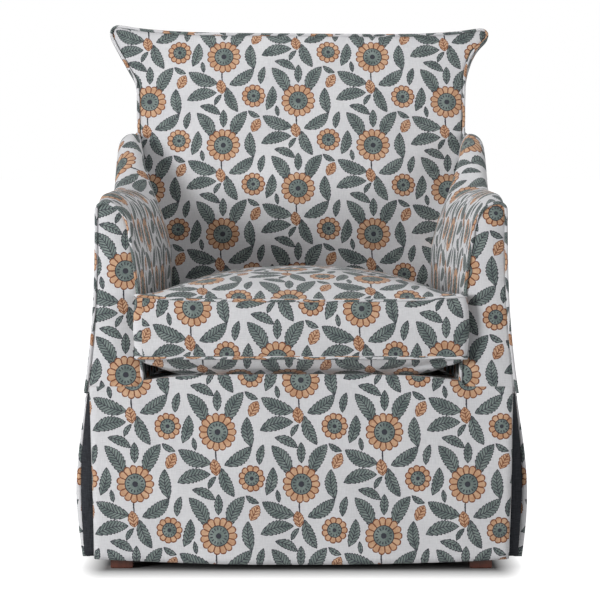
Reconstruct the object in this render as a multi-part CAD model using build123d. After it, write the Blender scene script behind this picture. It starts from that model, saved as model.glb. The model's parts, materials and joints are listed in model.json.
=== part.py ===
from build123d import *
from math import pi, sin
import os

# Skirted accent chair: hardwood frame, sprung deck, padded arms and back, loose seat cushion.
# Millimetres. X runs to the right as seen from the front, Y to the back, Z up.
# The origin is on the floor, under the middle of the chair's bounding box.

# Overall sizes
overall_depth = 850.0
overall_height = 965.0
seat_half_width = 272.0      # between the arms, at the front of the seat
fit_gap = 0.3                # air between soft pieces that lie against each other

# Feet and seat frame
foot_height = 120.0
foot_size = 38.0
foot_edge = 2.0              # chamfer round the sole
foot_setback = 2.0           # from the frame's front and rear faces
foot_inset = 14.0            # from the frame's sides
rail_thickness = 25.0
rail_height = 150.0
front_setback = 13.0         # from the arms' front face to the front rail
rear_setback = 9.5           # from the outside back to the back rail

# Skirt
skirt_thickness = 5.0
skirt_band = 30.0            # flat strip sewn to the body
skirt_belly_height = 150.0
front_skirt_flare = 10.0
side_skirt_belly = 14.0
side_skirt_hem = 6.0
hem_height = 20.0
hem_drop = 8.0               # how much lower the front hem hangs in its middle
seam_lap = 16.0              # upholstery tucked down behind the skirt's top
pleat_gap = 5.0
liner_leg = 90.0
liner_thickness = 3.0
liner_lift = 3.0             # the liner's hem above the skirt's

# Arms
arm_base_width = 94.0
arm_top_width = 52.0
arm_inner_lean = 25.0        # how far the inside leans out from base to top
arm_front_height = 632.0
arm_rise = 16.0              # from the front of the arm to the foot of the wing
arm_roll = 24.0              # rise of the rounded top
arm_roundness = 0.96         # most of a half circle that the rounded top may take
arm_cover = 6.0              # padding outside the frame at the arm's top
arm_pad = 21.0               # padding over the arm's front post
arm_post_depth = 45.0
arm_rail_height = 20.0
stretcher_height = 45.0
stretcher_lift = 20.0        # above the base of the arm
facing_thickness = 8.0
facing_margin = 3.0
facing_roundness = 0.8       # of half the arm's top width

# Wings
wing_rise = 110.0
wing_flare = 9.0
wing_lead = 34.0             # the sweep starts this far before the back
wing_run = 125.0             # length of the sweep
wing_steps = 4

# Back
back_rake = 0.128            # run over rise of the outside back
back_draw = 32.0             # narrower than the seat at its base, each side
back_gap = 12.0              # from the seat cushion to the back
back_top_thickness = 125.0
back_crown = 26.0
shoulder_drop = 8.0          # below the top of the wings
shoulder_inset = 2.0         # inside the seat rails' inner faces
neck_flare = 2.0
ear_reach = 53.0
ear_drop = 105.0             # from the top down to where the ears start
ear_thickness = 34.0         # height of an ear's blunt end
top_dip = 13.0               # how much the top edge sinks between the ears
panel_thickness = 4.0
panel_drop = 20.0            # the pad rolls this far above the outside back
back_post_depth = 45.0
back_post_width = 25.0
post_taper = 12.0            # taken off the outside of a back post at its top
frame_drop = 65.0            # from the top of the chair to the back frame's top
back_rail_height = 60.0
lower_rail_lift = 80.0       # above the base of the arms
ear_block_rise = 57.0
ear_block_reach = 26.0

# Seat
deck_thickness = 46.0
deck_crown = 18.0
spring_wire = 3.8
spring_pitch = 26.0
spring_run = 22.0
spring_count = 5
spring_spacing = 105.0
clip_length = 15.0
clip_width = 16.0
clip_metal = 1.0             # under and over the wire
cushion_proud = 6.0          # of the arms' front face
cushion_depth = 528.0
boxing_height = 98.0
cushion_top_crown = 40.0
cushion_bottom_crown = 32.0
front_edge_crown = 0.2       # share of the top crown left at the front seam
rear_edge_crown = 0.35
bottom_edge_crown = 0.55
crown_steps = 8
cushion_waist = 4.0          # sides drawn in half way along
cushion_gap = 5.0            # to the arms, each side
cover_cloth = 2.0
welt_radius = 3.0
welt_corner = 14.0
zip_length = 420.0
zip_tape = 26.0
zip_tape_thickness = 1.5
slider_length = 14.0
slider_height = 9.0
slider_thickness = 4.0
slider_clearance = 0.3
pull_width = 4.5
pull_length = 14.0

# Fasteners, webbing and lining
bolt_radius = 4.0
bolt_length = 110.0
screw_radius = 2.2
screw_length = 40.0
block_leg = 70.0
block_height = 50.0
dowel_radius = 5.0
dowel_length = 50.0
webbing_width = 50.0
webbing_thickness = 2.0
webbing_count = 3            # straps each way
dust_cover_thickness = 1.0

# Places worked out from the sizes above
depth_half = overall_depth / 2
body_half_width = seat_half_width + arm_base_width
arm_inner_top = seat_half_width + arm_inner_lean
arm_outer_top = arm_inner_top + arm_top_width
wing_outer = arm_outer_top + wing_flare
frame_half_width = arm_outer_top - arm_cover
rail_inner = frame_half_width - rail_thickness
post_inner = rail_inner - back_post_width
rail_top = foot_height + rail_height
skirt_top = rail_top + deck_thickness
arm_base = skirt_top - seam_lap
arm_middle_height = arm_front_height + arm_rise
wing_height = arm_middle_height + wing_rise
arm_post_top = arm_front_height - arm_roll - arm_pad
panel_top = overall_height - panel_drop
body_front = -depth_half + front_skirt_flare + skirt_thickness
body_rear = depth_half - (panel_top - skirt_top) * back_rake
frame_front = body_front + front_setback
frame_rear = body_rear - rear_setback
arm_front = body_front + facing_thickness
cushion_front = body_front - cushion_proud
cushion_rear = cushion_front + cushion_depth
cushion_bottom = skirt_top + deck_crown + fit_gap + cushion_bottom_crown
cushion_top = cushion_bottom + boxing_height
back_seat_front = cushion_rear + back_gap
back_top_front = depth_half - back_top_thickness
wing_front = back_seat_front - wing_lead
back_base_half = seat_half_width - back_draw
back_shoulder_half = rail_inner - shoulder_inset
back_shoulder_height = wing_height - shoulder_drop
back_neck_half = back_shoulder_half + neck_flare
back_neck_height = overall_height - ear_drop
back_frame_top = overall_height - frame_drop
ear_half = back_neck_half + ear_reach
lower_back_rail = arm_base + lower_rail_lift
clip_top = rail_top + spring_wire + 2 * clip_metal
spring_level = rail_top + clip_metal + spring_wire / 2
deck_bottom = clip_top + fit_gap
facing_corner = facing_roundness * arm_top_width / 2
wide = 2 * overall_depth     # past every side of the chair, for cutting
tall = 2 * overall_height


def outer_back(z):
    """Rear face of the outside back at height z."""
    return body_rear + (z - skirt_top) * back_rake


def back_side(z):
    """Half width of the back pad at height z, below the ears."""
    slope = (back_shoulder_half - back_base_half) / (back_shoulder_height - arm_base)
    if z <= back_shoulder_height:
        return back_base_half + slope * (z - arm_base)
    t = (z - back_shoulder_height) / (back_neck_height - back_shoulder_height)
    return back_shoulder_half + t * (back_neck_half - back_shoulder_half)


def block(x0, x1, y0, y1, z0, z1):
    """Box between two corners."""
    size = (abs(x1 - x0), abs(y1 - y0), abs(z1 - z0))
    return Pos((x0 + x1) / 2, (y0 + y1) / 2, (z0 + z1) / 2) * Box(*size)


def prism(points, direction):
    """Polygon through 3-D points, pushed along a vector."""
    face = Face(Wire.make_polygon([Vector(*p) for p in points], close=True))
    return Solid.extrude(face, Vector(*direction))


def side_prism(points, x0, x1):
    """Polygon in the (Y, Z) plane, from x0 to x1."""
    return prism([(x0, y, z) for y, z in points], (x1 - x0, 0, 0))


def front_prism(points, y0, y1):
    """Polygon in the (X, Z) plane, from y0 to y1."""
    return prism([(x, y0, z) for x, z in points], (0, y1 - y0, 0))


def rod(start, end, radius):
    """Round bar between two points."""
    a, b = Vector(*start), Vector(*end)
    return Solid.make_cylinder(radius, (b - a).length, Plane(origin=a, z_dir=b - a))


def closed_face(edges):
    """Flat face inside a ring of edges."""
    return Face(Wire(edges))


def mirrored(shape):
    """The same piece on the other side of the chair."""
    return shape.mirror(Plane.YZ)


def joined(shapes):
    """Several separate solids kept as one group."""
    return Compound(children=list(shapes))


def solids_of(shape):
    """Plain solids of a boolean result, largest first."""
    return sorted(shape.solids(), key=lambda s: -s.volume)


# Seat frame
def seat_frame():
    pieces = {}
    side = block(rail_inner, frame_half_width, frame_front, frame_rear, foot_height, rail_top)
    pieces["seat_rail_left"] = side
    pieces["seat_rail_right"] = mirrored(side)
    pieces["seat_rail_front"] = block(
        -rail_inner, rail_inner, frame_front, frame_front + rail_thickness, foot_height, rail_top
    )
    pieces["seat_rail_back"] = block(
        -post_inner, post_inner, frame_rear - rail_thickness, frame_rear, foot_height, rail_top
    )
    return pieces


def foot_places():
    """Middle of each foot, with the name of its corner."""
    x = frame_half_width - foot_inset - foot_size / 2
    y_front = frame_front + foot_setback + foot_size / 2
    y_rear = frame_rear - foot_setback - foot_size / 2
    return {
        "front_left": (x, y_front),
        "front_right": (-x, y_front),
        "rear_left": (x, y_rear),
        "rear_right": (-x, y_rear),
    }


def foot(x, y):
    body = Pos(x, y, foot_height / 2) * Box(foot_size, foot_size, foot_height)
    sole = body.faces().sort_by(Axis.Z)[0]
    return chamfer(sole.edges(), foot_edge)


def foot_bolt(x, y):
    """Hanger bolt from the foot up into the front rail or the back post."""
    middle = frame_front + rail_thickness / 2 if y < 0 else frame_rear - rail_thickness / 2
    low, high = foot_height - bolt_length / 2, foot_height + bolt_length / 2
    return rod((x, middle, low), (x, middle, high), bolt_radius)


def corner_blocks():
    """Triangular braces in the two front corners, and in the rear ones beside the back posts."""
    front_y = frame_front + rail_thickness
    rear_y = frame_rear - rail_thickness
    blocks = []
    for x, y, step in ((rail_inner, front_y, 1), (post_inner, rear_y, -1)):
        corner = [
            (x, y, foot_height),
            (x - block_leg, y, foot_height),
            (x, y + step * block_leg, foot_height),
        ]
        blocks.append(prism(corner, (0, 0, block_height)))
    return blocks + [mirrored(b) for b in blocks]


def corner_screws():
    """One screw through each brace into the front or back rail."""
    z = foot_height + block_height / 2
    screws = []
    front_y = frame_front + rail_thickness
    rear_y = frame_rear - rail_thickness
    for x, y, step in ((rail_inner, front_y, 1), (post_inner, rear_y, -1)):
        place = x - block_leg / 2
        head = y + step * screw_length / 2
        screws.append(rod((place, head, z), (place, head - step * screw_length, z), screw_radius))
    return screws + [mirrored(s) for s in screws]


# Arm frame
def post_rear(z):
    """Rear of the back posts at height z, which the arm frame reaches along their sides."""
    return outer_back(z) - panel_thickness - fit_gap


def arm_post():
    y0 = arm_front + fit_gap
    return block(rail_inner, frame_half_width, y0, y0 + arm_post_depth, rail_top, arm_post_top)


def arm_rail():
    """Top rail of the arm, from over the front post up to the side of the back post."""
    y0 = arm_front + fit_gap
    high = arm_post_top + arm_rail_height
    rear_low, rear_high = arm_post_top + arm_rise, high + arm_rise
    points = [
        (y0, arm_post_top),
        (y0, high),
        (post_rear(rear_high), rear_high),
        (post_rear(rear_low), rear_low),
        (y0 + arm_post_depth, arm_post_top),
    ]
    return side_prism(points, rail_inner, frame_half_width)


def arm_stretcher():
    """Low rail that the inside arm cover is tacked to."""
    y0 = arm_front + fit_gap + arm_post_depth
    low = arm_base + stretcher_lift
    high = low + stretcher_height
    points = [(y0, low), (y0, high), (post_rear(high), high), (post_rear(low), low)]
    return side_prism(points, rail_inner, frame_half_width)


def arm_dowels():
    y = arm_front + fit_gap + arm_post_depth / 2
    x = rail_inner + rail_thickness / 2
    low, high = rail_top - dowel_length / 2, rail_top + dowel_length / 2
    pair = [
        rod((x, y + step, low), (x, y + step, high), dowel_radius)
        for step in (-arm_post_depth / 4, arm_post_depth / 4)
    ]
    return pair + [mirrored(d) for d in pair]


# Back frame
def raked_slab(z0, z1, front_offset, rear_offset, x0, x1):
    """Slab that follows the outside back, between two distances in front of it."""
    points = [
        (outer_back(z0) - front_offset, z0),
        (outer_back(z0) - rear_offset, z0),
        (outer_back(z1) - rear_offset, z1),
        (outer_back(z1) - front_offset, z1),
    ]
    return side_prism(points, x0, x1)


def post_side(z):
    """Outside of the back posts at height z: upright beside the arm frame, tapered above it."""
    start = arm_post_top + arm_rail_height + arm_rise
    return rail_inner - post_taper * max(0.0, z - start) / (back_frame_top - start)


def beside_posts(margin):
    """Room outside a left back post, from where its taper starts."""
    start = arm_post_top + arm_rail_height + arm_rise
    points = [
        (post_side(start) + margin, start),
        (wide, start),
        (wide, tall),
        (post_side(tall) + margin, tall),
    ]
    return front_prism(points, -wide, wide)


def back_post():
    """Left back post: upright beside the seat rail, raked above it."""
    rear = panel_thickness
    front = panel_thickness + back_post_depth
    knee = rail_top
    foot_rear = min(frame_rear, outer_back(knee) - rear)
    points = [
        (foot_rear - back_post_depth, foot_height),
        (foot_rear, foot_height),
        (outer_back(knee) - rear, knee),
        (outer_back(back_frame_top) - rear, back_frame_top),
        (outer_back(back_frame_top) - front, back_frame_top),
        (outer_back(knee) - front, knee),
    ]
    return side_prism(points, post_inner, rail_inner) - beside_posts(0)


def back_rail(z0):
    depth = panel_thickness + rail_thickness
    return raked_slab(z0, z0 + back_rail_height, depth, panel_thickness, -post_inner, post_inner)


def ear_block():
    """Wedge beside the top of a left back post, which holds out the ear."""
    top = back_frame_top
    low = top - ear_block_rise
    outline = [(post_side(low), low), (post_side(top) + ear_block_reach, top), (post_side(top), top)]
    depth = panel_thickness + rail_thickness
    return front_prism(outline, -wide, wide) & raked_slab(low, top, depth, panel_thickness, 0, wide)


def back_webbing():
    """Straps over the back frame: uprights on the rails, cross straps on the posts."""
    straps = []
    on_rails = panel_thickness + rail_thickness
    on_posts = panel_thickness + back_post_depth
    room = back_frame_top - lower_back_rail - 2 * back_rail_height
    for n in range(webbing_count):
        share = (n + 0.5) / webbing_count
        x = post_inner * (2 * share - 1)
        straps.append(
            raked_slab(
                lower_back_rail, back_frame_top, on_rails + webbing_thickness, on_rails,
                x - webbing_width / 2, x + webbing_width / 2,
            )
        )
        z = lower_back_rail + back_rail_height + room * share
        half = post_side(z + webbing_width / 2)
        straps.append(
            raked_slab(
                z - webbing_width / 2, z + webbing_width / 2,
                on_posts + webbing_thickness, on_posts, -half, half,
            )
        )
    return straps


def back_envelope():
    """Room for the back frame and its webbing, cut out of the padding."""
    room = panel_thickness + back_post_depth + webbing_thickness + fit_gap
    half = rail_inner + fit_gap
    slab = raked_slab(foot_height, back_frame_top + fit_gap, room, 0, -half, half)
    beside = beside_posts(fit_gap)
    return slab - beside - mirrored(beside)


# Springs
def spring_ends():
    """Where a spring strand starts and ends along Y."""
    start = frame_front + rail_thickness / 2
    rear = frame_rear - rail_thickness / 2
    turns = int((rear - start) // spring_pitch)
    return start, start + turns * spring_pitch, turns


def zigzag_spring(x):
    """Sinuous spring: cross runs joined by half-round bends, in one level."""
    start, _, turns = spring_ends()
    half = spring_run / 2
    radius = spring_pitch / 2
    edges = []
    y = start
    side = 1
    for n in range(turns):
        a = (x - side * half, y, spring_level)
        b = (x + side * half, y, spring_level)
        edges.append(Line(a, b))
        bend = (x + side * (half + radius), y + radius, spring_level)
        edges.append(ThreePointArc(b, bend, (x + side * half, y + spring_pitch, spring_level)))
        y += spring_pitch
        side = -side
    edges.append(Line((x - side * half, y, spring_level), (x + side * half, y, spring_level)))
    path = Wire([e.edge() for e in edges])
    profile = Plane(origin=path @ 0, z_dir=path % 0) * Circle(spring_wire / 2)
    return sweep(profile, path=path)


def spring_places():
    middle = (spring_count - 1) / 2
    return [(n - middle) * spring_spacing for n in range(spring_count)]


def spring_clips(springs):
    """Steel clips that hold each spring's end runs down on the rails."""
    start, end, _ = spring_ends()
    clips = []
    for x, spring in zip(spring_places(), springs):
        for y in (start, end):
            clip = block(
                x - clip_width / 2, x + clip_width / 2, y - clip_length / 2, y + clip_length / 2,
                rail_top, clip_top,
            )
            clips.append(solids_of(clip - spring)[0])
    return clips


# Seat deck and cushion
def arm_inner(y):
    """Half width between the arms' bases at depth y, which the seat has to clear."""
    t = min(1.0, max(0.0, (y - arm_front) / (wing_front - arm_front)))
    return seat_half_width + t * (back_base_half + fit_gap - seat_half_width)


def crowned_section(y, half, low, high, low_crown, high_crown):
    """Upright section at depth y: straight sides, crowned top and bottom."""
    bottom_left, bottom_right = (-half, y, low), (half, y, low)
    top_left, top_right = (-half, y, high), (half, y, high)

    def across(a, b, middle):
        return ThreePointArc(a, (0, y, middle), b) if abs(middle - a[2]) > 0.01 else Line(a, b)

    edges = [
        across(bottom_left, bottom_right, low - low_crown),
        Line(bottom_right, top_right),
        across(top_right, top_left, high + high_crown),
        Line(top_left, bottom_left),
    ]
    return closed_face([e.edge() for e in edges])


def seat_deck():
    """Padded deck over the springs, with a crowned front lip."""
    sections = [
        crowned_section(y, arm_inner(y) - fit_gap, deck_bottom, skirt_top, 0, deck_crown)
        for y in (body_front, wing_front, back_seat_front - fit_gap)
    ]
    return loft(sections, ruled=True)


def cushion_half(y):
    """Half width of the seat cushion's seams at depth y."""
    return arm_inner(y) - cushion_gap


def cushion_plan(inset, z):
    """Outline of the seat cushion from above: sides drawn in, corners rounded."""
    front, rear = cushion_front + inset, cushion_rear - inset
    middle = (front + rear) / 2
    front_half, rear_half = cushion_half(front) - inset, cushion_half(rear) - inset
    waist = cushion_half(middle) - cushion_waist - inset
    edges = [
        Line((-front_half, front, z), (front_half, front, z)),
        ThreePointArc((front_half, front, z), (waist, middle, z), (rear_half, rear, z)),
        Line((rear_half, rear, z), (-rear_half, rear, z)),
        ThreePointArc((-rear_half, rear, z), (-waist, middle, z), (-front_half, front, z)),
    ]
    face = closed_face([e.edge() for e in edges])
    return face.fillet_2d(welt_corner - inset, face.vertices())


def cushion_form(inset):
    """Boxed seat cushion: a crowned block cut to the plan's outline."""
    margin = cushion_gap - fit_gap
    sections = []
    for n in range(crown_steps + 1):
        t = n / crown_steps
        y = cushion_front - margin + t * (cushion_depth + 2 * margin)
        top_edge = front_edge_crown + t * (rear_edge_crown - front_edge_crown)
        bulge = sin(pi * t)
        top_crown = cushion_top_crown * (top_edge + (1 - top_edge) * bulge)
        bottom_crown = cushion_bottom_crown * (bottom_edge_crown + (1 - bottom_edge_crown) * bulge)
        sections.append(
            crowned_section(
                y, cushion_half(y) + margin, cushion_bottom + inset, cushion_top - inset,
                bottom_crown, top_crown,
            )
        )
    low = cushion_bottom - 2 * cushion_bottom_crown
    high = cushion_top + 2 * cushion_top_crown
    column = Solid.extrude(cushion_plan(inset, low), Vector(0, 0, high - low))
    return solids_of(loft(sections).solid() & column)[0]


def open_tube(points, corner, radius):
    """Round tube along an open run of points, with rounded corners."""
    path = FilletPolyline(*points, radius=corner).wire()
    profile = Plane(origin=path @ 0, z_dir=path % 0) * Circle(radius)
    return sweep(profile, path=path)


def cushion_welt(z):
    """Piping sewn round the cushion at one of its two seams."""
    path = cushion_plan(0, z).outer_wire()
    profile = Plane(origin=path @ 0, z_dir=path % 0) * Circle(welt_radius)
    return sweep(profile, path=path)


def zipper():
    """Zip along the cushion's rear boxing: a tape with its chain, and the slider that runs on it."""
    middle = (cushion_bottom + cushion_top) / 2
    tape_rear = cushion_rear + zip_tape_thickness
    tape = block(
        -zip_length / 2, zip_length / 2, cushion_rear, tape_rear,
        middle - zip_tape / 2, middle + zip_tape / 2,
    )
    start = -zip_length / 2 + slider_length
    near = tape_rear + slider_clearance
    body = block(
        start - slider_length / 2, start + slider_length / 2, near, near + slider_thickness,
        middle - slider_height / 2, middle + slider_height / 2,
    )
    body = fillet(body.edges().filter_by(Axis.Y), slider_height / 4)
    tab = near + slider_thickness / 4
    pull = block(
        start - pull_width / 2, start + pull_width / 2, tab, tab + slider_thickness / 2,
        middle - slider_height / 2 - pull_length, middle,
    )
    return tape, body + pull


# Arms
def arm_section(y, inner_base, inner_top, outer_top, top):
    """Upright section of a left arm: sloping sides and a rounded top."""
    rise = min(arm_roll, arm_roundness * (outer_top - inner_top) / 2)
    shoulder = top - rise
    base_out, base_in = (body_half_width, y, arm_base), (inner_base, y, arm_base)
    top_out, top_in = (outer_top, y, shoulder), (inner_top, y, shoulder)
    edges = [
        Line(base_in, base_out),
        Line(base_out, top_out),
        ThreePointArc(top_out, ((outer_top + inner_top) / 2, y, top), top_in),
        Line(top_in, base_in),
    ]
    return closed_face([e.edge() for e in edges])


def behind_back():
    """Everything behind the outside back panel's inner face."""
    points = [
        (outer_back(0) - panel_thickness, 0),
        (wide, 0),
        (wide, tall),
        (outer_back(tall) - panel_thickness, tall),
    ]
    return side_prism(points, -wide, wide)


def arm_form():
    """Whole left arm with its wing, before the frame's room is taken out of it."""
    inner_base = back_base_half + 2 * fit_gap
    sections = [
        arm_section(arm_front, seat_half_width, arm_inner_top, arm_outer_top, arm_front_height)
    ]
    for n in range(wing_steps + 1):
        t = n / wing_steps
        y = wing_front + t * wing_run
        top = arm_middle_height + wing_rise * t * t * (3 - 2 * t)
        inner_top = back_side(top - arm_roll) + 2 * fit_gap
        sections.append(arm_section(y, inner_base, inner_top, arm_outer_top + t * wing_flare, top))
    inner_top = back_side(wing_height - arm_roll) + 2 * fit_gap
    sections.append(arm_section(depth_half, inner_base, inner_top, wing_outer, wing_height))
    return loft(sections, ruled=True) - behind_back()


def arm_room():
    """Hollow of a left arm, where its frame stands."""
    y0 = arm_front + fit_gap
    top_front = arm_post_top + arm_rail_height
    top_rear = top_front + arm_rise
    points = [
        (-wide, 0),
        (-wide, top_front + fit_gap),
        (y0, top_front + fit_gap),
        (post_rear(top_rear), top_rear + fit_gap),
        (wide, top_rear + fit_gap),
        (wide, 0),
    ]
    return side_prism(points, rail_inner - fit_gap, frame_half_width + fit_gap)


def left_arm():
    """Arm padding, and the outside arm panel beyond the frame."""
    soft = arm_form() - arm_room() - back_envelope()
    outside = block(frame_half_width + fit_gap, wide, -wide, wide, -tall, tall)
    return solids_of(soft - outside)[0], solids_of(soft & outside)[0]


def facing_corners(margin):
    """Corners of an arm's front facing, from its inner foot over the top to its outer foot."""
    top = arm_front_height - margin
    return [
        (seat_half_width + margin, arm_base),
        (arm_inner_top + margin, top),
        (arm_outer_top - margin, top),
        (body_half_width - margin, arm_base),
    ]


def arm_facing():
    """Padded front panel of a left arm."""
    points = [(x, body_front, z) for x, z in facing_corners(facing_margin)]
    outline = FilletPolyline(*points, radius=facing_corner)
    base = Line(points[-1], points[0])
    face = Face(Wire(outline.edges() + base.edges()))
    return Solid.extrude(face, Vector(0, facing_thickness, 0))


def facing_welt():
    """Piping round the facing, from the skirt seam over the top and down again."""
    inner_foot, inner_top, outer_top, outer_foot = facing_corners(facing_margin)
    low = skirt_top + 2 * welt_radius

    def at_seam(foot, top):
        t = (low - foot[1]) / (top[1] - foot[1])
        return (foot[0] + t * (top[0] - foot[0]), low)

    run = [at_seam(inner_foot, inner_top), inner_top, outer_top, at_seam(outer_foot, outer_top)]
    return open_tube([(x, body_front, z) for x, z in run], facing_corner, welt_radius)


# Back
def back_section(z, half, front, rear, crown):
    """Level section of the back pad: bowed front, straight sides and rear."""
    front_left, front_right = (-half, front, z), (half, front, z)
    edges = [
        ThreePointArc(front_left, (0, front - crown, z), front_right),
        Line(front_right, (half, rear, z)),
        Line((half, rear, z), (-half, rear, z)),
        Line((-half, rear, z), front_left),
    ]
    return closed_face([e.edge() for e in edges])


def back_front(z):
    """Side edge of the back pad's front at height z."""
    seat = back_seat_front + back_crown
    t = max(0.0, (z - cushion_top) / (overall_height - ear_thickness - cushion_top))
    return seat + t * (back_top_front - seat)


def back_pad():
    """Padded inside back with its top corners drawn out into ears."""
    ear_low = overall_height - ear_thickness
    chest = (cushion_top + back_shoulder_height) / 2
    # height, half width and share of the crown
    stations = [
        (arm_base, back_side(arm_base), 1.0),
        (cushion_top, back_side(cushion_top), 1.0),
        (chest, back_side(chest), 1.15),
        (back_shoulder_height, back_shoulder_half, 1.0),
        (back_neck_height, back_neck_half, 0.8),
        ((back_neck_height + ear_low) / 2, back_neck_half + 0.3 * ear_reach, 0.6),
        (ear_low, back_neck_half + 0.88 * ear_reach, 0.35),
        (overall_height - ear_thickness / 4, ear_half, 0.2),
    ]
    sections = []
    for z, half, crown in stations:
        rear = outer_back(min(z, panel_top)) - panel_thickness
        sections.append(back_section(z, half - fit_gap, back_front(z), rear, crown * back_crown))
    top_half = ear_half - ear_thickness / 4
    top_front = back_front(overall_height) + ear_thickness / 2
    top_rear = depth_half - panel_thickness - ear_thickness / 2
    sections.append(back_section(overall_height, top_half, top_front, top_rear, 0.1 * back_crown))
    pad = loft(sections, ruled=True)
    dip_radius = (top_half**2 + top_dip**2) / (2 * top_dip)
    dip_axis = overall_height - top_dip + dip_radius
    dip = rod((0, -wide, dip_axis), (0, wide, dip_axis), dip_radius)
    wedge = ear_block()
    return solids_of(pad - dip - back_envelope() - wedge - mirrored(wedge))[0]


def outside_back():
    """Rear panel over the back frame and the rear ends of the arms."""
    ear_side = ear_half - 2 * panel_thickness
    right = [
        (body_half_width - panel_thickness, arm_base),
        (wing_outer - panel_thickness, wing_height - arm_roll),
        (back_shoulder_half, wing_height),
        (back_neck_half - panel_thickness, back_neck_height),
        (ear_side, overall_height - ear_thickness),
        (ear_side, panel_top),
    ]
    outline = right + [(-x, z) for x, z in reversed(right)]
    slab = raked_slab(arm_base, panel_top, panel_thickness, 0, -wide, wide)
    return front_prism(outline, -wide, wide) & slab


# Skirt
def skirt_profile(hang, belly, hem, low):
    """Thickness of a hanging panel as (distance out, height) points."""
    inner = [
        (hang, skirt_top),
        (hang, skirt_top - skirt_band),
        (hang + belly, skirt_belly_height),
        (hang + hem, low),
    ]
    return inner + [(d + skirt_thickness, z) for d, z in reversed(inner)]


def arched_sheet(half, low, high, crown, y0, y1):
    """Upright sheet with a straight bottom edge and an arched top edge, from y0 to y1."""
    edges = [
        ThreePointArc((-half, y0, high), (0, y0, high + crown), (half, y0, high)),
        Line((half, y0, high), (half, y0, low)),
        Line((half, y0, low), (-half, y0, low)),
        Line((-half, y0, low), (-half, y0, high)),
    ]
    return Solid.extrude(closed_face([e.edge() for e in edges]), Vector(0, y1 - y0, 0))


def front_skirt():
    """Front panel, with a sagging hem and a lip that runs up over the deck."""
    low = hem_height - hem_drop
    flare = front_skirt_flare
    points = [(-d, z) for d, z in skirt_profile(-body_front, flare, flare, low)]
    panel = side_prism(points, -body_half_width, body_half_width)
    under_hem = arched_sheet(body_half_width, -tall, hem_height, -hem_drop, -wide, wide)
    lip = arched_sheet(
        arm_inner(body_front) - fit_gap, skirt_top - skirt_band / 2, skirt_top, deck_crown,
        body_front - skirt_thickness, body_front,
    )
    return solids_of(panel - under_hem + lip)[0]


def side_skirt():
    """Left panel, which bellies out below its seam."""
    points = skirt_profile(body_half_width, side_skirt_belly, side_skirt_hem, hem_height)
    return front_prism(points, body_front + pleat_gap, body_rear - pleat_gap)


def rear_skirt():
    points = skirt_profile(body_rear, front_skirt_flare, front_skirt_flare, hem_height)
    return side_prism(points, -body_half_width, body_half_width)


def pleat_liner(y, step):
    """Folded liner behind the open pleat of a left corner, from y towards the middle."""
    low = hem_height + liner_lift
    inner = body_half_width - liner_leg
    across = block(inner, body_half_width, y, y + step * liner_thickness, low, arm_base)
    along = block(
        body_half_width - liner_thickness, body_half_width, y, y + step * liner_leg, low, arm_base
    )
    return across + along


def dust_cover():
    """Black cloth tacked under the seat frame, cut round the feet."""
    sheet = block(
        -frame_half_width, frame_half_width, frame_front, frame_rear,
        foot_height - dust_cover_thickness, foot_height,
    )
    room = foot_size + 2 * fit_gap
    for x, y in foot_places().values():
        sheet = sheet - Pos(x, y, foot_height) * Box(room, room, foot_height)
    return sheet


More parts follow.
